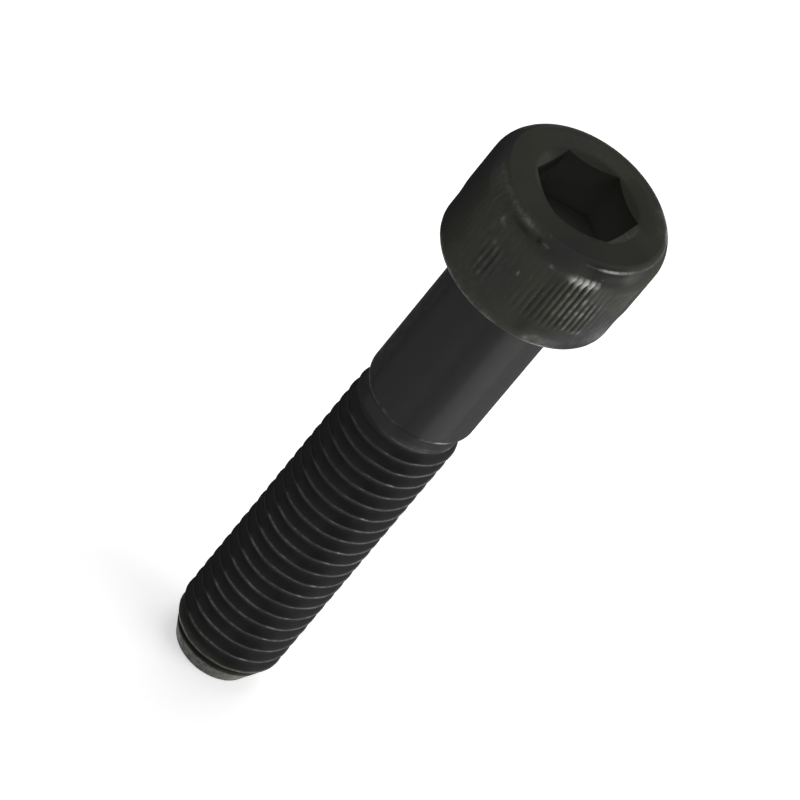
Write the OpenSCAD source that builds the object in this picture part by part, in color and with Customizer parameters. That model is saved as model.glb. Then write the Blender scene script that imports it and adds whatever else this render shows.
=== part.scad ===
// Hex socket cap screw, metric, partly threaded, standing on its threaded end.
// Millimetres. +Z runs up the screw's axis, z = 0 is the flat end of the thread.
// The hexagon socket has a corner on +X.

/* [Thread] */
// Diameter over the thread's crests
thread_d = 9.82; // [9.7:0.01:10]
// Distance from one crest to the next
pitch = 1.5; // [1.25:0.25:1.75]
// Height at which the last full turn of thread ends, from the flat end
thread_length = 32; // [24:0.5:40]
// Depth of the groove, as a share of the pitch
groove_share = 0.56; // [0.5:0.01:0.6]
// Diameter of the flat end
end_d = 7.2; // [6.6:0.1:7.6]
// Height of the cone that leads the thread in
lead_in = 3; // [2:0.1:3.5]
// Flat steps in one turn of the thread
turn_steps = 36; // [24:4:40]

/* [Shank] */
// Length under the head
shank_length = 50; // [45:1:60]
// Diameter of the plain part of the shank
shank_d = 9.86; // [9.8:0.01:10]
// Diameter left under the rolled thread's run-out
neck_d = 9.05; // [8.8:0.05:9.3]
// Radius of the fillet under the head
fillet_r = 0.5; // [0.3:0.1:0.6]

/* [Head] */
// Diameter over the knurled side
head_d = 16.04; // [15.8:0.02:16.3]
// Height of the head
head_h = 10; // [9:0.1:11]
// Diameter of the flat top face
face_d = 14; // [13:0.1:14.6]
// Height of the rounded shoulder between the face and the side
shoulder_h = 1.9; // [1.6:0.05:2.2]
// Diameter of the smooth band under the knurl
band_d = 15.8; // [15.6:0.02:15.8]
// Height of the smooth band
band_h = 2.3; // [1.8:0.1:3]
// Radius of the head's lower edge
lower_r = 1.0; // [0.5:0.1:1.2]

/* [Knurl] */
// Number of straight teeth round the head
knurl_teeth = 90; // [72:2:96]
// Depth of the grooves between the teeth
knurl_depth = 0.2; // [0.15:0.01:0.22]
// Height over which the lower ends of the teeth run out
knurl_end = 0.35; // [0.2:0.05:0.6]

/* [Socket] */
// Hexagon size across its flats
socket_af = 8; // [7.8:0.05:8.2]
// Depth of the hexagon's walls
socket_depth = 5; // [4:0.1:5.5]
// Depth of the shallow cone in the socket's floor
floor_cone = 1; // [0.5:0.1:1.4]
// Diameter of the countersink at the socket's mouth
mouth_d = 9.4; // [9.3:0.02:9.7]

/* [Hidden] */
$fn = 96;
steel = [0.17, 0.17, 0.165];
crest_r = thread_d / 2;
groove = pitch * groove_share;
root_r = crest_r - groove;
neck_r = neck_d / 2;
shank_r = shank_d / 2;
head_r = head_d / 2;
band_r = band_d / 2;
// The shoulder's arc starts this far outside the teeth, and cuts only their tops
knurl_clear = 0.05;
total_h = shank_length + head_h;
// A 60 degree thread: each flank covers this much of the pitch
flank = groove * tan(30);
crest_w = pitch / 8 + (10 - thread_d) * tan(30);
// Heights of one turn's four edges: lower flank, crest, crest, upper flank
edge = [-crest_w / 2 - flank, -crest_w / 2, crest_w / 2, crest_w / 2 + flank];
tall = [0, 1, 1, 0];
// Turns from below the flat end to inside the shank
turns = ceil((thread_length + 2.6 * pitch) / pitch) + 1;
first_z = -1.5 * pitch + 0.117;
// The thread runs out over run_out, and the neck ends where the step to the shank begins
run_out = pitch * 0.4;
step_z = thread_length + pitch * 1.2;
step_h = (shank_r - neck_r) * 1.5;
rows = turns * 4;

// How much of the thread is left at height z: all of it, then none past the run-out
function left_at(z) = max(0, min(1, (thread_length + run_out - z) / run_out));
function thread_r(z, high) =
    let (k = left_at(z), full = high == 1 ? crest_r : root_r)
    neck_r + (full - neck_r) * k;
function thread_z(i, row) = first_z + pitch * (floor(row / 4) + i / turn_steps) + edge[row % 4];
function thread_point(i, row) =
    let (z = thread_z(i, row), r = thread_r(z, tall[row % 4]), a = 360 * i / turn_steps)
    [r * cos(a), r * sin(a), z];

// The threaded core: four edges climb the core as one right-hand helix
module thread_form() {
    n = turn_steps;
    side = [for (i = [0 : n - 1]) for (row = [0 : rows - 1]) thread_point(i, row)];
    low = n * rows;
    points = concat(side, [[0, 0, first_z - pitch / 2],
                           [0, 0, first_z + pitch * (turns + 0.5)]]);
    // After one turn the last column meets the first, four edges higher
    wall = [for (i = [0 : n - 1])
            for (row = [0 : rows - 2])
            let (a = i * rows + row, last = i == n - 1,
                 b = last ? row + 4 : a + rows)
            if (!last || row + 5 < rows) each [[a, a + 1, b + 1], [a, b + 1, b]]];
    bottom = [for (i = [0 : n - 2]) [low, i * rows, (i + 1) * rows]];
    bottom_step = concat([[low, (n - 1) * rows, 4]],
                         [for (row = [0 : 3]) [low, row + 1, row]]);
    top = [for (i = [0 : n - 2]) [low + 1, (i + 2) * rows - 1, (i + 1) * rows - 1]];
    top_step = concat([[low + 1, rows - 1, n * rows - 5]],
                      [for (row = [0 : 3]) [low + 1, n * rows - 5 + row, n * rows - 4 + row]]);
    polyhedron(points, concat(wall, bottom, bottom_step, top, top_step), convexity = 10);
}

// The thread is cut flat at its end and coned where it leads in
module threaded_end() {
    intersection() {
        thread_form();
        rotate_extrude()
            polygon([[0, 0], [end_d / 2, 0], [shank_r + 0.4, lead_in * (shank_r + 0.4 - end_d / 2)
                     / (crest_r - end_d / 2)], [shank_r + 0.4, step_z + 3], [0, step_z + 3]]);
    }
}

// Plain shank with its step down to the rolled neck, and the fillet under the head
module plain_shank() {
    rotate_extrude()
        difference() {
            polygon([[0, step_z], [neck_r - 0.05, step_z], [shank_r, step_z + step_h],
                     [shank_r, shank_length - fillet_r], [shank_r + fillet_r, shank_length - fillet_r],
                     [shank_r + fillet_r, shank_length + 1], [0, shank_length + 1]]);
            translate([shank_r + fillet_r, shank_length - fillet_r]) circle(r = fillet_r);
        }
}

// Half section of the head without its knurl: a block with a round shoulder and lower edge
module head_outline(r) {
    s = shoulder_h;
    // The shoulder's arc leaves the side upright and meets the face at its rim
    drop = r - face_d / 2;
    arc_r = (s * s + drop * drop) / (2 * drop);
    side_top = total_h - s;
    translate([0, shank_length]) square([r - lower_r, lower_r * 2]);
    translate([r - lower_r, shank_length + lower_r]) circle(r = lower_r);
    translate([0, shank_length + lower_r]) square([r, head_h - s - lower_r]);
    translate([0, side_top - lower_r]) square([r - arc_r, s + lower_r]);
    intersection() {
        translate([r - arc_r, side_top]) circle(r = arc_r);
        translate([0, side_top]) square([r, s]);
    }
}

// Toothed outline of the knurl, seen from above
module knurl_outline() {
    t = knurl_teeth;
    polygon([for (i = [0 : 2 * t - 1])
             let (r = i % 2 == 0 ? head_r : head_r - knurl_depth, a = 180 * i / t)
             [r * cos(a), r * sin(a)]]);
}

module head_blank() {
    low = shank_length + band_h;
    rotate_extrude()
        intersection() {
            head_outline(band_r);
            translate([0, shank_length]) square([head_r, band_h + 1]);
        }
    intersection() {
        translate([0, 0, low]) linear_extrude(total_h - low) knurl_outline();
        rotate_extrude()
            difference() {
                head_outline(head_r + knurl_clear);
                // The teeth start on the band and rise to full height
                polygon([[head_r - knurl_depth, low - 1], [head_r + 1, low - 1],
                         [head_r + 1, low + knurl_end * (1 + 1 / knurl_depth)],
                         [head_r - knurl_depth, low]]);
            }
    }
}

module socket() {
    flat = socket_af / 2;
    corner_r = flat / cos(30);
    floor_z = total_h - socket_depth;
    // The countersink is a 120 degree cone down past the middle of each flat
    cone_h = (mouth_d / 2 - flat * 0.98) / tan(60);
    translate([0, 0, floor_z]) cylinder(h = socket_depth + 1, r = corner_r, $fn = 6);
    translate([0, 0, floor_z - floor_cone])
        cylinder(h = floor_cone + 0.01, r1 = 0.2, r2 = flat * 0.97);
    translate([0, 0, total_h - cone_h])
        cylinder(h = cone_h * 2, r1 = flat * 0.98, r2 = mouth_d - flat * 0.98);
}

module cap_screw() {
    color(steel)
    union() {
        difference() {
            union() {
                head_blank();
                plain_shank();
            }
            socket();
        }
        threaded_end();
    }
}

cap_screw();
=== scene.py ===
# Hex socket cap screw, M10 by 1.5, 50 mm long, standing on its threaded end.
# One closed skin with real thread, knurl and socket stands for the CAD solid.
import bpy
import math
import numpy as np
from mathutils import Matrix, Vector


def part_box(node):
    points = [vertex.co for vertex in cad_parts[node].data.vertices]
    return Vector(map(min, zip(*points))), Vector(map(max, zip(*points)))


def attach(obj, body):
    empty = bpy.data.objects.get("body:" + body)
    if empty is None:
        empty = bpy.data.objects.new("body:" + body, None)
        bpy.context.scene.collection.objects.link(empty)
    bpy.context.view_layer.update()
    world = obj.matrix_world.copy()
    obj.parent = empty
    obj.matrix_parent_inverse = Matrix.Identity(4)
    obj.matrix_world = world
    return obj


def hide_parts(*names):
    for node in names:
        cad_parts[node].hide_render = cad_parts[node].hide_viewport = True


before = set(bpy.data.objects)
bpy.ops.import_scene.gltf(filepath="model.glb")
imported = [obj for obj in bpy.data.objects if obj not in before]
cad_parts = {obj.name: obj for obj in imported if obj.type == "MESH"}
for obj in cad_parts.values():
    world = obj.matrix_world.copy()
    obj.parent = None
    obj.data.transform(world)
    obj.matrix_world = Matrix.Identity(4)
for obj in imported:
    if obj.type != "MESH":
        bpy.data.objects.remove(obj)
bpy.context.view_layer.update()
mm = 0.001
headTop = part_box("cap_screw")[1][2] / mm
print("frame loaded, head top at", round(headTop, 3), "mm")


# Camera

# Angles in degrees, lengths in mm, image points in pixels of the 800 by 800 frame
camera = {
    "frameSize": 800,
    "sensorWidth": 36.0,
    "pixelsPerMm": 12.762,      # at the middle of the bearing face
    "distance": 536.9,
    "axisTilt": 51.566,         # between the line of sight and the screw's axis
    "axisOnImage": 50.363,      # the axis rises to the right by this much
    "bearingPoint": (522.244, 274.629),
    "bearingHeight": 50.0,
    "socketTurn": 17.428,       # from the image's own right to the socket's corner
}
# Heading of the line from the axis to the camera, seen from above
cameraHeading = -90.0 - camera["socketTurn"]


def makeCamera(spec):
    # In the view x is right, y down and z forward; place = bearing point - toWorld @ its place in the view
    tilt, lean = math.radians(spec["axisTilt"]), math.radians(spec["axisOnImage"])
    axis = Vector((math.sin(tilt) * math.cos(lean), -math.sin(tilt) * math.sin(lean), -math.cos(tilt)))
    across = Vector((math.sin(lean), math.cos(lean), 0.0))
    away = axis.cross(across)
    turn = math.radians(spec["socketTurn"])
    xDir = across * math.cos(turn) + away * math.sin(turn)
    yDir = away * math.cos(turn) - across * math.sin(turn)
    toWorld = Matrix((xDir, yDir, axis))
    half, scale = spec["frameSize"] / 2, spec["pixelsPerMm"]
    u, v = spec["bearingPoint"]
    centre = Vector(((u - half) / scale, (v - half) / scale, spec["distance"]))
    place = Vector((0, 0, spec["bearingHeight"])) - toWorld @ centre
    turned = toWorld @ Matrix(((1, 0, 0), (0, -1, 0), (0, 0, -1)))
    data = bpy.data.cameras.new("camera")
    data.sensor_fit = "HORIZONTAL"
    data.sensor_width = spec["sensorWidth"]
    data.lens = scale * spec["distance"] * data.sensor_width / spec["frameSize"]
    data.clip_start, data.clip_end = 0.01, 20.0
    obj = bpy.data.objects.new("camera", data)
    bpy.context.collection.objects.link(obj)
    obj.matrix_world = Matrix.Translation(place * mm) @ turned.to_4x4()
    bpy.context.scene.camera = obj


makeCamera(camera)
print("camera placed")


# Screw

# Headings are degrees to the image's right of the meridian nearest the camera, from -180 to 180.
# A row holds an amount, a shape of headings and a shape of heights or radii, and may end early.
# A shape is a bell (middle, half width) or a window (rises from, to, falls from, to). A window
# that starts or ends at 180 degrees, or past all heights, is open there.
# Amounts above 0 are bright steel: real wear in some rows, painted light and painted highlights in others.
# Amounts below 0 are soot, which stands for painted shade in most rows.
allRound = (-180.01, -180, 180, 180.01)
screw = {
    # Lengths in mm, heights above the flat end
    "threadRadius": 4.91,
    "rootRadius": 4.07,
    "pitch": 1.5,
    "crestHeight": 0.117,       # height of a crest on the +X side, less whole pitches
    "runOut": (32.05, 32.6),    # the thread fades into the neck between these heights
    "neckRadius": 4.525,
    "neckTop": 33.8,
    "shankRadius": 4.93,
    "stepHeight": 0.6,
    "stepOver": (0.09, 0.07),   # the cone runs past shank and neck by these shares of the step's depth
    "stepSoftness": (0.3, 0.12),
    "endRadius": 3.6,
    "endBevel": 0.03,
    "endInner": 0.6,            # radius of the inner ring on the flat end, as a share
    "leadIn": 3.0,
    "leadInSoftness": 0.05,
    "filletRadius": 0.5,
    "bearing": 50.0,
    "lowerRound": 1.0,
    "bandRadius": 7.9,
    "bandTop": 52.3,
    "sideRadius": 8.02,
    "shoulderHeight": 1.9,
    "faceRadius": 7.0,
    "rimRings": (6.7, 6.93),    # two rings of points on the face, just inside its edge
    "underRings": (6.6, 5.9),   # and two on the bearing face
    "mouthRadius": 4.7,
    "mouthCone": 120,           # degrees
    "rimSoftness": 0.09,
    "flatDistance": 4.0,
    "socketFloor": 55.0,
    "floorCone": 1.0,
    # Columns of points round each part; the side has eight for each tooth
    "sideColumns": 720,
    "faceColumns": 240,
    "shankColumns": 144,
    "sharpAngle": 42,           # degrees between faces that meet in a sharp edge
    # Shares of the pitch, from the middle of a crest
    "crestHalf": 0.068,
    "rootHalf": 0.42,
    "cornerSoftness": 0.09,     # as a share of the flank
    "underside": (0, 0.05, 0.09, 0.25, 0.39, 0.45, 0.5),
    "upperSide": (0.455, 0.42, 0.385, 0.27, 0.13, 0.09, 0.068, 0.045),
    "crestWaver": 0.035,
    # The knurl is deep on the right and behind, and faint on the left
    "teeth": 90,
    "toothDepth": 0.2,
    "toothRise": 0.4,
    "toothSharpness": 2.2,
    "toothSoftness": 0.03,      # where the shoulder cuts the teeth
    "toothLeast": 0.08,         # share of the depth that is left where they are worn away
    "riseWorn": 5,              # the rise gets longer by up to this many times for worn teeth
    "marksPerMm": 2.6,          # how often a tooth's wear changes along it
    "toothShare": {
        "right": (1, (-6, 16, 180, 180.01)),
        "behind": (1, (-180.01, -180, -120, -75)),
        "left": (0.6, (-21, 8), (40, 41, 55.7, 56.6)),
    },
    "frontLine": (53.7, 0.17, 54.0, 58.5),      # height at heading 0, climb per degree, lowest, highest
    "frontLoss": (0.92, (-8.01, -8, 20, 26)),   # above that line
    "toothLoss": {
        "upperRight": (0.85, (37, 43, 80, 110), (55.6, 57.2, 90, 91)),
        "farRight": (0.85, (49, 57, 80, 110)),
    },
    "shallow": {
        "front": (0.58, (-10, 0, 80, 110)),
        "lessOnTheRight": (-0.261, (18, 32, 80, 110)),
    },
    "battered": (1, (17, 27, 35, 43), (58.28, 0.36)),
    "batteredFill": 0.55,
    # The shine on the battered teeth is a painted highlight over their real wear
    "batteredShine": 0.845,
    # Wear on the teeth's tips all round, with a painted highlight on them at the right; painted highlights
    # on their lower ends in front and on their upper ends just right of the front
    "toothWearAndHighlight": {
        "allRound": (0.1,),
        "right": (0.51, (35, 11.5)),
        "behind": (0.24, (-180.01, -180, -120, -75)),
        "left": (0.18, (-21, 8)),
    },
    "tipsEnd": (58.3, 58.9),
    "toothEndHighlights": (0.5, (-8, 8, 180, 180.01), (52.7, 0.25)),
    "toothTopHighlights": (0.8, (7, 11, 17, 22), (58.15, 0.3)),
    # How much darker the knurl's grooves are
    "grooveDarker": 0.1,
    # A thin rubbed line round the shoulder, with a painted highlight on it at the right
    "rimHeight": 59.64,
    "rimWearAndHighlight": {
        "allRound": (0.14,),
        "quietFront": (-0.12, (-14, -2, 20, 28)),
        "right": (0.864, (34, 41, 52, 68)),
        "farRight": (0.036, (34, 41, 180, 180.01)),
    },
    "rimWidth": {
        "allRound": (0.16,),
        "right": (-0.09, (10, 30, 90, 120)),
    },
    "farRim": (0.14, (100, 140, 220, 260), (59.699, 59.7, 90, 91)),
    # Painted light on the head's lower edge at the left and front, and a painted highlight on it at the
    # right
    "edgePaintedLight": {
        "glow": (0.10, (-180.01, -180, 0, 24), (49, 49.5, 50.4, 51.5)),
        "line": (0.14, (-180.01, -180, 0, 24), (50.45, 0.25)),
    },
    "edgeGlint": (0.7, (34, 11), (50.25, 0.3)),
    # Painted light and painted highlights on the head's side, band and shoulder
    "headPaintedLight": {
        "left": (0.05, (-25, 20)),
        "shoulderLeft": (0.06, (-50, 20), (59.3, 0.35)),
        "right": (0.035, (42, 52, 70, 82), (51, 51.5, 57.6, 58.1)),
        "bandRight": (0.015, (42, 52, 70, 82), (51, 51.5, 52.5, 54)),
        "bandPatch": (0.14, (35, 10), (51.1, 0.6)),
        "bandFarRight": (0.05, (58, 70, 95, 120), (51.6, 0.9)),
    },
    "markLevel": 0.08,          # brighter marks than this stand out of the shoulder's painted shade
    # Painted shade on the shoulder in front and on the right
    "shoulderPaintedShade": {
        "front": (-0.1, (5, 20, 50, 62), (58, 58.8, 59.75, 59.95)),
        "right": (-0.6, (24, 36, 50, 62), (58, 58.8, 59.75, 59.95)),
    },
    # Painted shade on the head: on the left, beside the battered teeth, above the band and at the face's
    # edge
    "headPaintedShade": {
        "left": (-0.25, (-110, -90, -74, -58)),
        "besideBattered": (-0.42, (17.5, 5.5), (50.8, 51.4, 57.6, 58.4)),
        "aboveBand": (-0.45, (31, 10), (51.5, 52.1, 53.6, 54.6)),
        "faceEdge": (-0.35, (15, 35, 90, 110), (59.92, 0.1)),
    },
    # Painted shade on the face in front, and beside the socket behind on the right
    "facePaintedShade": {
        "front": (-0.2, (-40, -10, 70, 95)),
        "besideSocket": (-0.25, (95, 110, 150, 165), (4, 4.1, 5.4, 6.2)),
    },
    "handled": (0.03, (80, 150, 210, 280)),
    # The countersink has a little wear all round, painted light on the right, and painted shade in front
    # and on the far side
    "mouthWearAndLight": {
        "allRound": (0.03,),
        "right": (0.13, (0, 30, 95, 112)),
        "front": (-0.2, (-60, -30, 30, 60)),
        "far": (-0.42, (100, 118, 242, 260)),
    },
    # Painted shade on the socket's floor and on the upper part of its walls
    "floorPaintedShade": -0.5,
    "wallPaintedShade": -0.3,
    "litWallPaintedShade": (-0.6, (-134, -131, -74, -71)),  # the wall that faces the light on the right
    # Painted shade darkens the shank up to a clear edge at the right of the front; a little painted light
    # on the right and on the left; painted light on the step and under its corner, and painted glints at
    # the corner
    "shankPaintedLight": {
        "front": (-0.36, (-6, 10, 20, 27)),
        "right": (0.02, (51, 7)),
        "left": (0.035, (-100, -80, -56, -44)),
        "step": (0.04, allRound, (33.899, 33.9, 34.42, 34.68)),
        "underCorner": (0.095, allRound, (34.13, 0.22)),
        "cornerGlint": (0.65, (48, 6), (34.3, 0.15)),
    },
    "cornerGlintPatches": (0.4, (-52, -38, 180, 180.01), (34.4, 0.12)),
    # The neck, where the thread runs out, with painted shade on the right and two rubbed lines with
    # painted highlights
    "neckPaintedShade": {
        "right": (-0.4, (-6, 10, 180, 180.01), (32.7, 33.2, 90, 91)),
        "lessFarRight": (0.2, (40, 60, 180, 180.01), (32.7, 33.2, 90, 91)),
    },
    "neckWearAndHighlight": {
        "lower": (0.4, (-25, 25, 180, 180.01), (32.62, 0.08)),
        "upper": (0.32, (-25, 25, 180, 180.01), (32.95, 0.06)),
    },
    # The crests' upper corner shows as a rubbed line with a painted highlight and painted glints between
    # two headings, and faintly behind; the flanks get painted shade, heavier on the right, and a little
    # painted light on the left
    "lineFrom": -43,
    "lineFades": (95, 130),
    "lineBehind": (0.4, (-180.01, -180, -150, -120)),
    "lineWidth": 0.03,          # as a share of the pitch
    "lineBright": 0.34,
    "highThread": (17, 25),     # the line gets fainter between these heights
    "glintAt": 35,
    "glintWidth": 3,
    "flankPaintedShade": 0.5,
    "shadeByHeading": {
        "allRound": (0.05,),
        "right": (0.8, (-2, 22, 180, 180.01)),
        "farRight": (-0.35, (28, 60, 180, 180.01)),
    },
    "flankPaintedLight": (0.045, (-100, -80, -12, 6)),
    "cornerPaintedShade": -0.8,
    "cornerShadeFrom": -112,
    "cornerShadeWidth": 0.07,          # as a share of the pitch
    # The flat end is bright at its edge and less so inside
    "endWear": 0.8,
    "innerWear": 0.4,
    # The cone cuts the first turns: bare steel up to here, then a dark groove, then a rubbed ridge
    "bareTo": (1.75, 2.1),
    "darkGroove": (0.9, 1.2, 2.3, 2.7),
    # The groove is darkened to this level
    "darkGrooveLevel": -0.8,
    "ridgeRubbed": 0.75,
    "ridgeBright": {
        "allRound": (0.7,),
        "right": (-0.3, (-10, 25, 180, 180.01)),
    },
    # Parts of the head whose coat isn't olive
    "neutralLeft": (1, (-130, -100, -66, -50)),
    "neutralBand": (1, (25, 40, 180, 180.01)),
    "neutralFront": (1, (15, 18), (57.9, 58.6, 90, 91)),
    "neutralRadii": (7.1, 1.5),
    # Small nicks: heading, height, half width, half height, amount
    "nickDepth": 0.02,
    "nicks": [
        (-29.5, 58.35, 0.16, 0.36, 0.34),
        (-27.0, 58.15, 0.30, 0.12, 0.22),
        (-42.0, 58.40, 0.10, 0.50, 0.14),
        (-18.0, 59.62, 0.80, 0.14, 0.30),
        (-17.0, 59.10, 0.90, 0.10, -0.60),
        (-23.5, 56.10, 0.12, 0.12, 0.50),
        (-30.5, 56.90, 0.12, 0.10, 0.22),
        (-35.5, 54.95, 0.16, 0.12, 0.20),
        (-1.5, 59.95, 0.12, 0.03, 0.45),
        (-0.5, 59.32, 0.24, 0.08, 0.60),
        (-5.0, 59.26, 0.22, 0.16, -0.80),
        (9.5, 58.30, 0.14, 0.14, 0.55),
        (-2.5, 55.85, 0.09, 0.09, 0.50),
        (5.0, 56.10, 0.10, 0.09, 0.50),
        (24.0, 50.90, 0.26, 0.14, 0.50),
        (29.0, 51.30, 0.40, 0.30, 0.16),
        (36.0, 51.20, 0.30, 0.14, 0.35),
        (112, 59.80, 0.80, 0.16, 0.35),
        (128, 59.90, 0.60, 0.12, 0.30),
        (128, 59.10, 0.20, 0.16, 0.40),
        (-150, 58.60, 0.34, 0.12, 0.35),
        (168, 55.40, 0.14, 0.50, 0.30),
        (-112, 59.40, 0.30, 0.10, 0.35),
    ],
}


def smoothStep(low, high, value):
    # 0 below low, 1 above high, and t * t * (3 - 2 t) between
    t = np.clip((value - low) / (high - low), 0, 1)
    return t * t * (3 - 2 * t)


def bell(value, middle, halfWidth):
    # 1 in the middle, falling away as exp(-x * x)
    return np.exp(-((value - middle) / halfWidth) ** 2)


def window(value, riseFrom, riseTo, fallFrom, fallTo):
    # A smooth step up times a smooth step down
    return smoothStep(riseFrom, riseTo, value) * (1 - smoothStep(fallFrom, fallTo, value))


def shaped(value, shape):
    # A shape of two numbers is a bell, one of four is a window
    return bell(value, *shape) if len(shape) == 2 else window(value, *shape)


def tone(row, right, level=0.0):
    # amount * shape of the heading * shape of the height or radius; headings may pass 180 degrees
    amount, *shapes = row
    if shapes:
        first = shapes[0]
        middle = first[0] if len(first) == 2 else (first[0] + first[3]) / 2
        amount = amount * shaped((right - middle + 180) % 360 - 180 + middle, first)
    if len(shapes) == 2:
        amount = amount * shaped(level, shapes[1])
    return amount


def tones(rows, right, level=0.0):
    # The sum of the rows
    return sum(tone(row, right, level) for row in rows.values())


def softMin(a, b, width):
    # The lower of two surfaces, less width * h * (1 - h) where they are closer than width
    h = np.clip(0.5 + 0.5 * (b - a) / width, 0, 1)
    return b + (a - b) * h - width * h * (1 - h)


def scatter(a, b):
    # A fixed scattered number from 0 to 1: the fraction of sin(12.99 a + 78.23 b) * 43758.5
    return np.mod(np.sin(12.99 * a + 78.23 * b) * 43758.5, 1.0)


def turns(columns):
    # Angles from +X round a full turn
    return np.arange(columns) * (2 * np.pi / columns)


def facing(degrees):
    # Angle from +X of a heading
    return math.radians(cameraHeading + degrees)


def toRight(angle):
    # Heading of an angle from +X
    return (np.degrees(angle) - cameraHeading + 180) % 360 - 180


class Skin:
    # Collects rings of points and the faces between them, from the socket's floor to the flat end
    def __init__(self):
        self.points, self.worn, self.faces, self.count = [], [], [], 0

    def add(self, xyz, worn):
        # Gives the numbers of the new points
        first = self.count
        self.points.append(np.reshape(xyz, (-1, 3)))
        self.worn.append(np.reshape(worn, -1))
        self.count += self.points[-1].shape[0]
        return np.arange(first, self.count)

    def rings(self, angle, radius, height, worn):
        # A grid of points (radius cos angle, radius sin angle, height), a row for each ring
        radius, height, worn, angle = np.broadcast_arrays(radius, height, worn, angle[None, :])
        xyz = np.stack([radius * np.cos(angle), radius * np.sin(angle), height], -1)
        return self.add(xyz, worn).reshape(radius.shape)

    def ring(self, angle, radius, height, worn):
        # One ring of one radius, height and wear
        return self.rings(angle, *(np.full((1, 1), value) for value in (radius, height, worn)))[0]

    def quads(self, a, b, c, d):
        # A triangle is a quad whose last two corners are one point
        self.faces.append(np.stack([a, b, c, d], -1).reshape(-1, 4))

    def join(self, rows):
        # Quads between each point, the one below it and their next columns, round the full turn
        nextColumn = np.roll(rows, -1, axis=1)
        self.quads(rows[:-1], rows[1:], nextColumn[1:], nextColumn[:-1])

    def joinUneven(self, upper, lower):
        # Joins a ring to one with an odd number of times more or fewer points, each to its nearest
        coarse, fine, down = (upper, lower, True) if len(upper) < len(lower) else (lower, upper, False)
        ratio = len(fine) // len(coarse)
        edge = np.arange(len(fine))
        owner = coarse[((edge + 0.5) / ratio + 0.5).astype(int) % len(coarse)]
        nextFine = np.roll(fine, -1)
        middle = fine[np.arange(len(coarse)) * ratio + ratio // 2]
        nextCoarse = np.roll(coarse, -1)
        if down:
            self.quads(owner, fine, nextFine, nextFine)
            self.quads(coarse, middle, nextCoarse, nextCoarse)
        else:
            self.quads(fine, owner, nextFine, nextFine)
            self.quads(middle, coarse, nextCoarse, nextCoarse)

    def cap(self, ring, height, below, worn=0.0):
        # Closes a ring to a point on the axis
        tip = self.add((0, 0, height), worn)[0]
        nextColumn = np.roll(ring, -1)
        tips = np.full_like(ring, tip)
        if below:
            self.quads(ring, tips, nextColumn, nextColumn)
        else:
            self.quads(tips, ring, nextColumn, nextColumn)


def socketRings(skin, s):
    # Floor cone, walls at flatDistance / cos(angle from the flat's middle), countersink and flat face
    angle = turns(s["faceColumns"])
    right = toRight(angle)
    wall = s["flatDistance"] / np.cos(angle % (np.pi / 3) - np.pi / 6)
    floor, mouth = s["socketFloor"], s["mouthRadius"]
    slope = 1 / math.tan(math.radians(s["mouthCone"] / 2))

    def coneHeight(radius):
        # The countersink climbs to the face, which it meets in a soft corner
        return softMin(headTop + (radius - mouth) * slope, headTop, s["rimSoftness"])

    rows = []
    # Painted shade on the socket's floor and on the upper part of its walls, most on the wall facing the
    # light
    for share in (0.25, 0.5, 0.75, 0.97):
        rows.append((s["flatDistance"] * share, floor - s["floorCone"] * (1 - share), s["floorPaintedShade"]))
    rows.append((wall, floor, s["floorPaintedShade"]))
    for share in (0.03, 0.25, 0.5, 0.75, 0.97, 1.0):
        sootAndPaintedShade = s["wallPaintedShade"] * share ** 3 + tone(s["litWallPaintedShade"], right) * smoothStep(0.35, 0.75, share)
        rows.append((wall, floor + (coneHeight(wall) - floor) * share, sootAndPaintedShade))
    mouthWearAndLight = tones(s["mouthWearAndLight"], right)
    for share in (0.1, 0.4, 0.7):
        radius = wall + (mouth - wall) * share
        rows.append((radius, coneHeight(radius), mouthWearAndLight))
    # The countersink's wear and painted light fade out over the first rings of the face, which carry
    # painted shade
    for outward, part in ((-0.06, 1), (0, 1), (0.07, 0.6), (0.2, 0), (0.4, 0), (1.0, 0), (1.5, 0)):
        radius = mouth + outward + 0 * angle
        faceWearAndShade = tone(s["handled"], right) + tones(s["facePaintedShade"], right, radius)
        rows.append((radius, coneHeight(radius), mouthWearAndLight * part + faceWearAndShade * (1 - part)))
    # One array each of the rows' radii, heights and wear
    arrays = [np.array([np.broadcast_to(value, angle.shape) for value in values]) for values in zip(*rows)]
    grid = skin.rings(angle, *arrays)
    skin.cap(grid[0], floor - s["floorCone"], False, s["floorPaintedShade"])
    skin.join(grid)
    return grid[-1]


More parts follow.
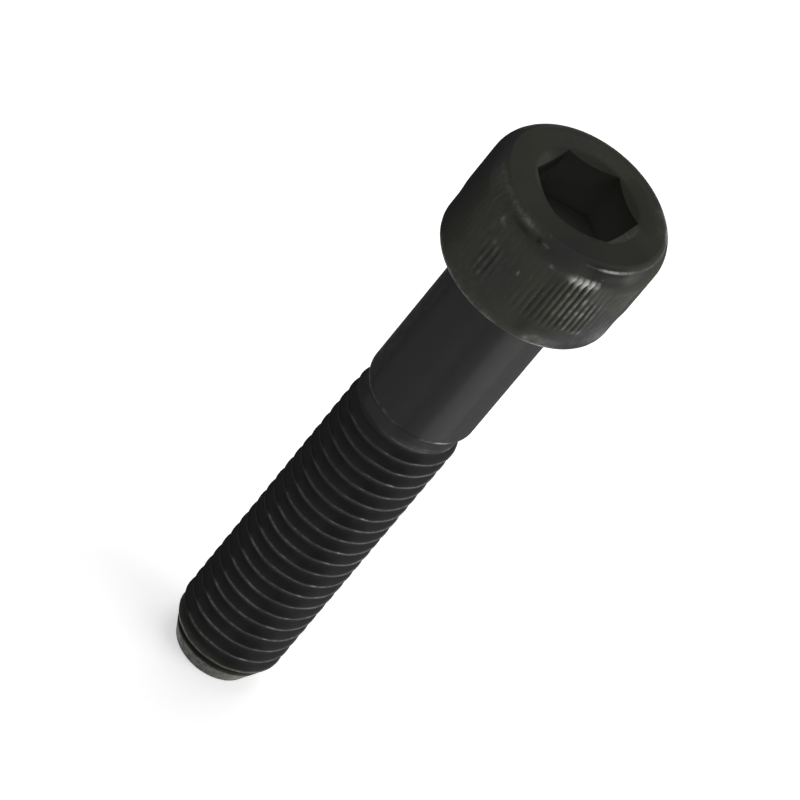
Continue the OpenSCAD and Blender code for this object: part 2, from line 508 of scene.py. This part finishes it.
def knurl(angle, height, s):
    # Depth below the teeth's tops: toothDepth * across * strength * uneven * rise,
    # where across is 0 on a tooth and 1 in a groove, as a power of a raised cosine
    right = toRight(angle)
    across = (0.5 - 0.5 * np.cos(angle * s["teeth"])) ** s["toothSharpness"]
    strength = np.zeros_like(height)
    for row in s["toothShare"].values():
        strength = np.maximum(strength, tone(row, right, height))
    # In front the teeth end along a line that climbs to the right, and on the far right they fade out
    start, climb, lowest, highest = s["frontLine"]
    frontTop = np.clip(start + climb * right, lowest, highest)
    above = smoothStep(frontTop - 0.2, frontTop + 0.8, height)
    strength = strength * (1 - tone(s["frontLoss"], right) * above)
    for row in s["toothLoss"].values():
        strength = strength * (1 - tone(row, right, height))
    # They are shallow in front, and half filled where they are battered
    strength = strength * (1 - tones(s["shallow"], right))
    strength = strength * (1 - s["batteredFill"] * tone(s["battered"], right, height))
    patches = 0.12 * np.sin(3 * angle + 1.3 + 0.5 * height) + 0.08 * np.sin(7 * angle - 0.8 * height)
    strength = np.clip(strength * (1 + patches), s["toothLeast"], 1.0)
    riseHeight = s["toothRise"] * (1 + s["riseWorn"] * (1 - strength))
    rise = smoothStep(s["bandTop"], s["bandTop"] + riseHeight, height)
    gap = np.floor(angle * s["teeth"] / (2 * np.pi))
    uneven = 1 + 0.14 * np.sin(gap * 2.4) + 0.4 * (scatter(gap, np.round(height * s["marksPerMm"])) - 0.5)
    return across * s["toothDepth"] * strength * uneven * rise, across, strength * rise, rise


def headProfile(s):
    # Radius and height down the head: rim, shoulder arc r = side - arc (1 - cos), straight side and band,
    # and a quarter circle at the lower edge
    top, low = headTop, s["bearing"]
    # The shoulder's arc leaves the side upright and meets the face at its rim
    drop, tall = s["sideRadius"] - s["faceRadius"], s["shoulderHeight"]
    arcRadius = (tall ** 2 + drop ** 2) / (2 * drop)
    # Rings lie closer where the teeth end on the shoulder, and where they rise from the band
    share = np.concatenate([np.linspace(1, 0.86, 4), np.linspace(0.83, 0.65, 9), np.linspace(0.58, 0, 9)])
    beta = 2 * math.atan(drop / tall) * share
    shoulderR = s["sideRadius"] - arcRadius * (1 - np.cos(beta))
    shoulderZ = top - tall + arcRadius * np.sin(beta)
    sideZ = np.concatenate([np.linspace(top - tall - 0.35, s["bandTop"] + 0.9, 13),
                            np.linspace(s["bandTop"] + 0.7, s["bandTop"], 6)])
    bandZ = np.linspace(s["bandTop"] - 0.15, low + s["lowerRound"], 4)
    turn = np.radians(np.linspace(0, 90, 8))[1:]
    roundR = s["bandRadius"] - s["lowerRound"] * (1 - np.cos(turn))
    roundZ = low + s["lowerRound"] * (1 - np.sin(turn))
    radius = np.concatenate([s["rimRings"], shoulderR, 0 * sideZ + s["sideRadius"],
                             0 * bandZ + s["bandRadius"], roundR, s["underRings"][:1]])
    height = np.concatenate([[top, top - 0.004], shoulderZ, sideZ, bandZ, roundZ, [low]])
    return radius[:, None], height[:, None]


def headWearAndLight(angle, radius, height, across, strength, onSide, onRound, s):
    # The sum of the rubbed rim with its painted highlight, the teeth's worn tips with painted highlights,
    # the painted light on the lower edge, and the head's painted light and painted shade
    right = toRight(angle)
    rim = bell(height, s["rimHeight"], tones(s["rimWidth"], right))
    rim = rim * np.clip(tones(s["rimWearAndHighlight"], right), 0, 1)
    teeth = np.where(onSide, (1 - across) * strength, 0)
    tooth = np.round(angle * s["teeth"] / (2 * np.pi))
    broken = 0.3 + 1.3 * scatter(tooth + 0.5, np.round(height * s["marksPerMm"])) ** 2
    tips = teeth * (1 - across) ** 2 * (1 - smoothStep(*s["tipsEnd"], height))
    tips = tips * (broken * tones(s["toothWearAndHighlight"], right) + tone(s["toothEndHighlights"], right, height))
    # The tops of some teeth are battered where the shoulder begins, with a painted highlight on them
    patch = s["batteredShine"] * tone(s["battered"], right, height) * (1 + teeth)
    toothTopGlints = teeth * tone(s["toothTopHighlights"], right, height)
    uneven = 1 + 0.4 * np.sin(14 * angle) * np.sin(5 * angle + 1)
    lowerEdge = tones(s["edgePaintedLight"], right, height) * uneven + tone(s["edgeGlint"], right, height)
    lowerEdge = lowerEdge * (radius > s["faceRadius"])
    farRim = tone(s["farRim"], right, height) * (radius > s["rimRings"][0])
    worn = (rim + patch + lowerEdge + tones(s["headPaintedLight"], right, height)) * onRound
    worn = worn + tips + toothTopGlints + farRim
    # Painted shade on the shoulder, except where a mark is brighter than the mark level
    worn = np.where(worn > s["markLevel"], worn, worn + tones(s["shoulderPaintedShade"], right, height) * onRound)
    worn = worn - np.where(onSide, s["grooveDarker"] * across * strength, 0)
    onFace = height > headTop - 0.01
    # Painted shade on the face and on the head's side
    worn = worn + tones(s["facePaintedShade"], right, radius) * onFace
    return worn + tones(s["headPaintedShade"], right, height) * onRound


def headRings(skin, s, inner):
    # The profile turned about the axis, and on the side the soft minimum of it and the teeth
    angle = turns(s["sideColumns"])
    profileR, profileZ = headProfile(s)
    radius, height = profileR + 0 * angle, profileZ + 0 * angle
    depth, across, strength, rise = knurl(angle[None, :], height, s)
    belowFace = height < headTop - 0.01
    onSide = (height > s["bandTop"] - 0.01) & belowFace
    onRound = belowFace & (radius > s["faceRadius"])
    # The teeth rise from the band's radius, and the shoulder cuts their tops
    side = s["bandRadius"] + (s["sideRadius"] - s["bandRadius"]) * rise - depth
    radius = np.where(onSide, softMin(radius, side, s["toothSoftness"]), radius)
    worn = headWearAndLight(angle[None, :], radius, height, across, strength, onSide, onRound, s)
    right = toRight(angle[None, :])
    for heading, at, halfWide, halfTall, amount in s["nicks"]:
        away = (right - heading + 180) % 360 - 180
        nick = bell(np.radians(away) * radius, 0, halfWide) * bell(height, at, halfTall)
        worn = worn + amount * nick
        radius = radius - s["nickDepth"] * nick
    grid = skin.rings(angle, radius, height, np.clip(worn, -1, 1))
    skin.joinUneven(inner, grid[0])
    skin.join(grid)
    return grid[-1]


def shankRings(skin, s, outer):
    # Bearing face, quarter circle fillet, plain shank, and a cone with two soft corners down to the neck
    angle = turns(s["shankColumns"])
    right = toRight(angle)[None, :]
    low, fillet, full, neck = s["bearing"], s["filletRadius"], s["shankRadius"], s["neckRadius"]
    turn = np.radians(np.linspace(90, 0, 7))
    filletR = full + fillet * (1 - np.cos(turn))
    filletZ = low - fillet * (1 - np.sin(turn))
    corner = s["neckTop"] + s["stepHeight"]
    plainZ = np.linspace(low - fillet - 1.5, corner + 0.5, 8)
    step = np.linspace(-0.45, 1, 12)
    over, under = s["stepOver"]
    cone = neck + (full - neck) * (1 + over - (1 + over + under) * step)
    upperSoftness, lowerSoftness = s["stepSoftness"]
    stepR = -softMin(-softMin(cone, full, upperSoftness), -neck, lowerSoftness)
    stepZ = corner - s["stepHeight"] * step
    radius = np.concatenate([s["underRings"][1:], filletR, 0 * plainZ + full, stepR])[:, None]
    height = np.concatenate([[low], filletZ, plainZ, stepZ])[:, None]
    patches = np.clip(np.sin(5 * angle + 0.6) * np.sin(11 * angle) - 0.3, 0, 1)
    # Painted shade and painted light on the shank and step, and painted glints at the step's corner
    worn = tones(s["shankPaintedLight"], right, height) + tone(s["cornerGlintPatches"], right, height) * patches
    grid = skin.rings(angle, radius, height, worn)
    skin.joinUneven(outer, grid[0])
    skin.join(grid)
    return grid[-1]


def flankShare(phase, s):
    # 1 on the flat crest, 0 on the flat root, a straight line between and a parabola at each corner
    fromCrest = np.minimum(phase, 1 - phase)
    t = (s["rootHalf"] - fromCrest) / (s["rootHalf"] - s["crestHalf"])
    soft = s["cornerSoftness"]
    lowPart = np.where(t < -soft, 0, np.where(t < soft, (t + soft) ** 2 / (4 * soft), t))
    return np.where(t > 1 + soft, 1, np.where(t > 1 - soft, 1 - (1 + soft - t) ** 2 / (4 * soft), lowPart))


def threadRadius(angle, height, phase, s):
    # root + (crest - root) * flankShare, faded into the neck, and its soft minimum with the lead-in cone
    flank = flankShare(phase, s)
    radius = s["rootRadius"] + (s["threadRadius"] - s["rootRadius"]) * flank
    left = 1 - smoothStep(*s["runOut"], height)
    radius = s["neckRadius"] + (radius - s["neckRadius"]) * left
    cone = s["endRadius"] + (s["threadRadius"] - s["endRadius"]) * height / s["leadIn"]
    wearAndLight = coneWear(angle, height, radius - cone, threadWearAndPaintedLight(angle, height, phase, flank, s) * left, s)
    rolled = (0.006 * np.sin(5 * angle + 1.1 * height) + 0.003 * np.sin(9 * angle - 2.3 * height)) * flank
    return softMin(radius - np.abs(rolled), cone, s["leadInSoftness"]), wearAndLight


def coneWear(angle, height, over, wearAndLight, s):
    # wear and painted light * (1 - cut) + bare steel * cut, where cut grows as the thread stands over the
    # cone
    bare = 1 - smoothStep(*s["bareTo"], height)
    cut = smoothStep(-0.02, 0.05, over)
    cut = np.maximum(cut, s["ridgeRubbed"] * smoothStep(-0.24, 0.04, over) * (1 - bare))
    ridge = tones(s["ridgeBright"], toRight(angle))
    scored = 0.8 + 0.2 * np.sin(19 * height + 3 * np.sin(4 * angle))
    wearAndLight = wearAndLight * (1 - cut) + cut * (ridge + (1 - ridge) * bare) * scored
    dark = (1 - cut) * window(height, *s["darkGroove"])
    return wearAndLight * (1 - dark) + s["darkGrooveLevel"] * dark


def threadWearAndPaintedLight(angle, height, phase, flank, s):
    # line * bright + (1 - line) * plain: the crests' rubbed upper corner with painted highlights and
    # glints, and the flanks in painted shade
    right = toRight(angle)
    turn = np.round((height - s["crestHeight"]) / s["pitch"] - angle / (2 * np.pi))
    # Each turn's line starts and glints at its own heading
    start = s["lineFrom"] + 2 * np.sin(3.3 * turn)
    at = s["glintAt"] + 4 * np.sin(2.3 * turn)
    fading = smoothStep(*s["lineFades"], right)
    shown = smoothStep(start - 4, start + 3, right) * (1 - 0.6 * fading)
    # High on the thread the line stays faint until it comes round to the front
    high = smoothStep(*s["highThread"], height)
    shown = shown * (1 - 0.75 * high * (1 - smoothStep(-2, 12, right))) + tone(s["lineBehind"], right)
    glint = (0.25 + 0.75 * np.sin(4.1 * turn) ** 2) * bell(right, at, s["glintWidth"])
    glint = glint + 0.3 * high * bell(right, 8 + 3 * np.sin(1.9 * turn), s["glintWidth"])
    glint = glint + 0.2 * bell(right, start + 7, 4)
    # Past the glint the line is wider and softer
    wide = smoothStep(at, at + 14, right) * (1 - fading)
    corner = 1 - s["crestHalf"]
    line = shown * bell(phase, corner, s["lineWidth"] + 0.025 * wide)
    patches = 0.5 + 0.5 * np.sin(2.9 * turn + 3 * angle) * np.sin(1.7 * turn - 7 * angle)
    bright = (s["lineBright"] + 0.3 * patches) * (1 - 0.3 * smoothStep(0, 12, right))
    bright = bright * (1 - 0.25 * wide) + glint
    # Painted shade is thickest on the upper third of the flanks
    deep = 1 - flank
    sootAndPaintedShade = s["flankPaintedShade"] * (1 + smoothStep(0, 0.2, deep)) * (1 - 0.6 * smoothStep(0.3, 0.9, deep))
    plain = tone(s["flankPaintedLight"], right) - sootAndPaintedShade * tones(s["shadeByHeading"], right)
    # On the left the corner gets painted shade as dark as the rest, so the light it catches doesn't stand
    # out
    hidden = (1 - smoothStep(start - 6, start + 2, right)) * (right > s["cornerShadeFrom"])
    cornerPaintedShade = s["cornerPaintedShade"] * bell(phase, corner, s["cornerShadeWidth"]) * hidden
    return line * bright + (1 - line) * plain + cornerPaintedShade


def waver(along):
    # A sum of three sines of the angle run through along the helix, within -1 and 1
    return 0.4 * np.sin(5.3 * along) + 0.35 * np.sin(9.1 * along + 1) + 0.25 * np.sin(16.7 * along + 2)


def threadRings(skin, s, upper):
    # Height = start - pitch * shares fallen + pitch * angle / full turn, so the rows climb with the helix
    angle = turns(s["shankColumns"])
    shares = np.array([*s["underside"], *(1 - share for share in s["upperSide"])])
    n, pitch, high = len(shares), s["pitch"], s["neckTop"]
    start = s["crestHeight"] + pitch * math.ceil((high + pitch - s["crestHeight"]) / pitch)
    row = np.arange(n * (math.ceil((start + pitch) / pitch) + 1) + 1)
    crestOf, share = (row // n)[:, None], shares[row % n][:, None]
    height = start - pitch * (crestOf + share) + pitch * angle / (2 * np.pi)
    # Each crest wavers a little along the helix, and the wavering crosses over at the root
    along, under = angle - 2 * np.pi * crestOf, smoothStep(0.35, 0.65, share)
    height = height + s["crestWaver"] * (waver(along) * (1 - under) + waver(along - 2 * np.pi) * under)
    radius, worn = threadRadius(angle, height, np.broadcast_to(share, height.shape), s)
    right = toRight(angle)
    # The neck's rubbed lines are broken, with a painted glint at 42 degrees
    broken = 0.6 + 0.4 * np.sin(31 * angle) * np.sin(13 * angle + 1) + bell(right, 42, 4)
    worn = worn + tones(s["neckWearAndHighlight"], right, height) * broken + tones(s["neckPaintedShade"], right, height)
    ring = skin.ring(angle, s["endRadius"] - s["endBevel"], 0.0, s["endWear"])
    # Points past either end fall on its ring
    gap = 0.03
    above, below = height > high - gap, height < gap
    inside = ~(above | below)
    xyz = np.stack([radius * np.cos(angle), radius * np.sin(angle), height], -1)
    index = np.where(above, upper[None, :], ring[None, :])
    index[inside] = skin.add(xyz[inside], np.clip(worn, -1, 1)[inside])
    # After a turn the last column meets the first, one pitch of rows higher
    wrapped = np.vstack([index[:1].repeat(n, axis=0), index[:-n]])[:, :1]
    wrapped[:n] = upper[0]
    nextColumn = np.hstack([index[:, 1:], wrapped])
    a, b, c, d = index[:-1], index[1:], nextColumn[1:], nextColumn[:-1]
    keep = ~((a == b) & (c == d))
    a, b, c, d = a[keep], b[keep], c[keep], d[keep]
    thin = a == b
    skin.quads(a, np.where(thin, c, b), np.where(thin, d, c), d)
    innerRing = skin.ring(angle, s["endRadius"] * s["endInner"], 0.0, s["innerWear"])
    skin.join(np.stack([ring, innerRing]))
    skin.cap(innerRing, 0.0, True)


def warmth(points, s):
    # 1 where the coat is olive, 0 where it is neutral: the head less three parts of it, and the bare end
    right = toRight(np.arctan2(points[:, 1], points[:, 0]))
    radius, height = np.hypot(points[:, 0], points[:, 1]), points[:, 2]
    head = smoothStep(s["bearing"] - 0.5, s["bearing"] + 0.2, height)
    onSide = radius > s["faceRadius"] + 0.3
    left = onSide * tone(s["neutralLeft"], right)
    # On the right the neutral part climbs higher over the knurl
    bandTop = s["bandTop"] + 2.2 * smoothStep(44, 56, right)
    band = onSide * tone(s["neutralBand"], right) * (1 - 0.7 * smoothStep(bandTop, bandTop + 0.8, height))
    front = tone(s["neutralFront"], right, height) * bell(radius, *s["neutralRadii"])
    end = 1 - smoothStep(s["leadIn"] - 0.4, s["leadIn"] + 0.4, height)
    return np.clip(np.maximum(head - left - band - front, end), 0, 1)


def makeScrew(s):
    # The rings of socket, head, shank and thread, joined from the socket's floor to the flat end
    skin = Skin()
    faceEdge = socketRings(skin, s)
    bearingEdge = headRings(skin, s, faceEdge)
    neckEdge = shankRings(skin, s, bearingEdge)
    threadRings(skin, s, neckEdge)
    points = np.concatenate(skin.points)
    quads = np.concatenate(skin.faces)
    sizes = np.where(quads[:, 2] == quads[:, 3], 3, 4)
    starts = np.concatenate([[0], np.cumsum(sizes)[:-1]])
    corners = quads[np.arange(4)[None, :] < sizes[:, None]]
    mesh = bpy.data.meshes.new("capScrew")
    mesh.vertices.add(len(points))
    mesh.vertices.foreach_set("co", (points * mm).astype(np.float32).ravel())
    mesh.loops.add(len(corners))
    mesh.loops.foreach_set("vertex_index", corners.astype(np.int32))
    mesh.polygons.add(len(quads))
    mesh.polygons.foreach_set("loop_start", starts.astype(np.int32))
    mesh.update(calc_edges=True)
    mesh.validate()
    mesh.polygons.foreach_set("use_smooth", np.ones(len(mesh.polygons), bool))
    mesh.set_sharp_from_angle(angle=math.radians(s["sharpAngle"]))
    for name, values in (("worn", np.concatenate(skin.worn)), ("warm", warmth(points, s))):
        attribute = mesh.attributes.new(name, "FLOAT", "POINT")
        attribute.data.foreach_set("value", values.astype(np.float32))
    obj = bpy.data.objects.new("capScrewSkin", mesh)
    bpy.context.collection.objects.link(obj)
    print("screw skin:", len(points), "points,", int((sizes - 2).sum()), "triangles")
    return obj


screwSkin = makeScrew(screw)


# Black oxide finish

# Linear colours, roughness from 0 to 1, heights and radii in metres, noise scales per metre
finish = {
    "oxide": (0.0325, 0.0325, 0.0325),
    "oxideWarm": (0.0390, 0.0402, 0.0318),
    "sootAndPaintedShade": (0.012, 0.012, 0.012),
    "wornSteel": (0.25, 0.25, 0.24),
    "bareEnd": (0.072, 0.073, 0.060),
    "socketPaintedLight": (0.11, 0.11, 0.105),
    "roughness": (0.35, 0.47),  # from and to, with the grain
    "ior": 1.4,
    "sheenFront": 0.10,         # specular level where the surface faces the eye
    "sheenEdge": 0.0,           # and at grazing angles, where the rough oxide shades itself
    "sheenUnderSootAndShade": 0.25,          # share of it that soot and painted shade leave
    "sheenWorn": 0.6,
    "cloudScale": 230,
    "grainScale": 900,
    "wearScale": 2400,
    "speckScale": 2300,
    "fineScale": 5200,
    "fineStrength": 0.25,
    "fineDepth": 0.00002,
    "headFrom": (0.0495, 0.0503),
    "endTo": (0.0026, 0.0032),
    "specksTo": (0.0590, 0.0594),
    "socketRadius": (0.00462, 0.00468),
    "socketHeights": (0.0557, 0.0597),  # the painted light is strongest at the first
}


def makeFinish(f):
    # Oxide with painted light deep in the socket, then soot and painted shade below 0 of the wear
    # attribute, and steel for wear and painted highlights above it
    material = bpy.data.materials.new("blackOxide")
    material.use_nodes = True
    nodes, links = material.node_tree.nodes, material.node_tree.links
    nodes.clear()

    def node(kind, **values):
        # A value goes to the node's own property of that name, or else to its socket
        made = nodes.new(kind)
        for name, value in values.items():
            if hasattr(made, name):
                setattr(made, name, value)
            else:
                made.inputs[name].default_value = value
        return made

    def mix(factor, a, b):
        # a * (1 - factor) + b * factor
        made = node("ShaderNodeMix", data_type="RGBA")
        links.new(factor, made.inputs[0])
        for socket, value in ((6, a), (7, b)):
            if isinstance(value, tuple):
                made.inputs[socket].default_value = (*value, 1)
            else:
                links.new(value, made.inputs[socket])
        return made.outputs[2]

    def span(value, low, high, toLow, toHigh):
        # A straight line from toLow at low to toHigh at high, level outside
        made = node("ShaderNodeMapRange")
        links.new(value, made.inputs["Value"])
        for name, amount in (("From Min", low), ("From Max", high), ("To Min", toLow), ("To Max", toHigh)):
            made.inputs[name].default_value = amount
        return made.outputs["Result"]

    def combine(operation, a, b):
        # a * b, or the greater of the two
        made = node("ShaderNodeMath", operation=operation)
        links.new(a, made.inputs[0])
        links.new(b, made.inputs[1])
        return made.outputs[0]

    def scaled(vector, factors):
        # Each coordinate times its factor
        made = node("ShaderNodeVectorMath", operation="MULTIPLY")
        links.new(vector, made.inputs[0])
        made.inputs[1].default_value = factors
        return made.outputs[0]

    def noise(scale, detail, where=None):
        # A cloud of values round 0.5 on Object coordinates
        made = node("ShaderNodeTexNoise", Scale=scale, Detail=detail, Roughness=0.55)
        links.new(where or place, made.inputs["Vector"])
        return made.outputs["Fac"]

    place = node("ShaderNodeTexCoord").outputs["Object"]
    worn = node("ShaderNodeAttribute", attribute_name="worn").outputs["Fac"]
    warm = node("ShaderNodeAttribute", attribute_name="warm").outputs["Fac"]
    parts = node("ShaderNodeSeparateXYZ")
    links.new(place, parts.inputs[0])
    height = parts.outputs["Z"]
    onHead = span(height, *f["headFrom"], 0, 1)
    # Olive clouds in the neutral coat
    clouded = combine("MULTIPLY", warm, span(noise(f["cloudScale"], 3), 0.35, 0.55, 0.5, 1.1))
    base = mix(clouded, f["oxide"], f["oxideWarm"])
    # Painted light deep in the socket makes the coat paler there
    fromAxis = node("ShaderNodeVectorMath", operation="LENGTH")
    links.new(scaled(place, (1, 1, 0)), fromAxis.inputs[0])
    inSocket = combine("MULTIPLY", onHead, span(fromAxis.outputs["Value"], *f["socketRadius"], 1, 0))
    deep = combine("MULTIPLY", inSocket, span(height, *f["socketHeights"], 1, 0))
    base = mix(deep, base, f["socketPaintedLight"])
    # Rubbed places and painted highlights are patchy, and a few specks of steel show on the head's side
    patches = span(noise(f["wearScale"], 3, scaled(place, (1, 1, 0.5))), 0.40, 0.60, 0.4, 1.15)
    patchy = combine("MULTIPLY", span(worn, 0, 1, 0, 1), patches)
    onSide = combine("MULTIPLY", onHead, span(height, *f["specksTo"], 1, 0))
    speck = combine("MULTIPLY", onSide, span(noise(f["speckScale"], 1), 0.76, 0.82, 0, 0.25))
    bare = combine("MAXIMUM", patchy, speck)
    sootAndShadeColour = mix(span(worn, -1, 0, 1, 0), base, f["sootAndPaintedShade"])
    steel = mix(span(height, *f["endTo"], 1, 0), f["wornSteel"], f["bareEnd"])
    # The sheen goes with grazing angles and under soot and painted shade, and comes back on bare steel and
    # painted highlights
    facingEye = node("ShaderNodeLayerWeight", Blend=0.5).outputs["Facing"]
    turned = span(facingEye, 0.2, 0.5, f["sheenFront"], f["sheenEdge"])
    hidden = combine("MULTIPLY", turned, span(worn, -1, 0, f["sheenUnderSootAndShade"], 1))
    polished = combine("MULTIPLY", bare, span(worn, 0, 1, 0, f["sheenWorn"]))
    fine = node("ShaderNodeBump", Strength=f["fineStrength"], Distance=f["fineDepth"])
    links.new(noise(f["fineScale"], 3), fine.inputs["Height"])
    shader = node("ShaderNodeBsdfPrincipled", IOR=f["ior"])
    links.new(combine("MAXIMUM", hidden, polished), shader.inputs["Specular IOR Level"])
    links.new(mix(bare, sootAndShadeColour, steel), shader.inputs["Base Color"])
    links.new(span(noise(f["grainScale"], 4), 0.3, 0.7, *f["roughness"]), shader.inputs["Roughness"])
    links.new(fine.outputs["Normal"], shader.inputs["Normal"])
    output = node("ShaderNodeOutputMaterial")
    links.new(shader.outputs["BSDF"], output.inputs["Surface"])
    return material


screwSkin.data.materials.append(makeFinish(finish))
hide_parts("cap_screw")
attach(screwSkin, "root")
print("finish made")


# Floor and light

# Headings in degrees to the image's right of the camera, heights in degrees above the floor
studio = {
    "floorSize": 6.0,
    "floorColour": 0.85,
    "floorRoughness": 0.9,
    "floorLift": 0.5,           # makes the pale floor white where it is seen or reflected
    "worldLight": 0.4,
    "aimHeight": 0.035,
    "lamps": [
        {"name": "rightSoftbox", "heading": 96, "height": 5, "away": 0.50,
         "size": (0.36, 0.11), "watts": 2.5},
        {"name": "frontLamp", "heading": 64, "height": 18, "away": 0.50,
         "size": (0.14, 0.14), "watts": 0.3},
        {"name": "topSoftbox", "heading": 180, "height": 68, "away": 0.60,
         "size": (0.36, 0.36), "watts": 0.9},
    ],
    # A card of light that lies on the floor at the right; offsets to the right of and towards the camera
    "card": {"name": "bounceCard", "right": 0.095, "towards": -0.045, "up": 0.001,
             "size": (0.15, 0.14), "watts": 0.16},
}


def makeFloor(s):
    # A flat square; its lift shows to Is Camera Ray, Is Glossy Ray and Is Transmission Ray
    half = s["floorSize"] / 2
    mesh = bpy.data.meshes.new("floor")
    corners = [(-half, -half, 0), (half, -half, 0), (half, half, 0), (-half, half, 0)]
    mesh.from_pydata(corners, [], [(0, 1, 2, 3)])
    floor = bpy.data.objects.new("floor", mesh)
    bpy.context.collection.objects.link(floor)
    material = bpy.data.materials.new("paleFloor")
    material.use_nodes = True
    nodes, links = material.node_tree.nodes, material.node_tree.links
    shader = nodes["Principled BSDF"]
    shader.inputs["Base Color"].default_value = (*[s["floorColour"]] * 3, 1)
    shader.inputs["Roughness"].default_value = s["floorRoughness"]
    shader.inputs["Specular IOR Level"].default_value = 0.0
    shader.inputs["Emission Color"].default_value = (1, 1, 1, 1)
    path = nodes.new("ShaderNodeLightPath")
    seen = path.outputs["Is Camera Ray"]
    for name in ("Is Glossy Ray", "Is Transmission Ray"):
        either = nodes.new("ShaderNodeMath")
        either.operation = "MAXIMUM"
        links.new(seen, either.inputs[0])
        links.new(path.outputs[name], either.inputs[1])
        seen = either.outputs[0]
    lift = nodes.new("ShaderNodeMath")
    lift.operation = "MULTIPLY"
    lift.inputs[1].default_value = s["floorLift"]
    links.new(seen, lift.inputs[0])
    links.new(lift.outputs[0], shader.inputs["Emission Strength"])
    mesh.materials.append(material)


def makeWorld(s):
    # One even white light from all sides
    world = bpy.data.worlds.new("studio")
    bpy.context.scene.world = world
    world.use_nodes = True
    background = world.node_tree.nodes["Background"]
    background.inputs["Color"].default_value = (1, 1, 1, 1)
    background.inputs["Strength"].default_value = s["worldLight"]


def makeAreaLamp(spec, matrix):
    # A rectangle of light that shines down its own -Z
    data = bpy.data.lights.new(spec["name"], "AREA")
    data.shape, data.energy = "RECTANGLE", spec["watts"]
    data.size, data.size_y = spec["size"]
    obj = bpy.data.objects.new(spec["name"], data)
    bpy.context.collection.objects.link(obj)
    obj.matrix_world = matrix
    return obj


def makeLamps(s):
    # Each lamp stands at target + away * the direction of its heading and height, and looks back
    target = Vector((0, 0, s["aimHeight"]))
    for lamp in s["lamps"]:
        heading, height = facing(lamp["heading"]), math.radians(lamp["height"])
        flat = math.cos(height)
        way = Vector((flat * math.cos(heading), flat * math.sin(heading), math.sin(height)))
        turn = way.to_track_quat("Z", "Y").to_matrix().to_4x4()
        makeAreaLamp(lamp, Matrix.Translation(target + way * lamp["away"]) @ turn)
    card = s["card"]
    place = Matrix.Translation((card["towards"], card["right"], card["up"]))
    faceUp = Matrix.Rotation(math.pi, 4, "X")
    bounceCard = makeAreaLamp(card, Matrix.Rotation(facing(0), 4, "Z") @ place @ faceUp)
    bounceCard.visible_camera = False


makeFloor(studio)
makeWorld(studio)
makeLamps(studio)
bpy.context.scene.view_settings.view_transform = "Standard"
print("floor and light ready")
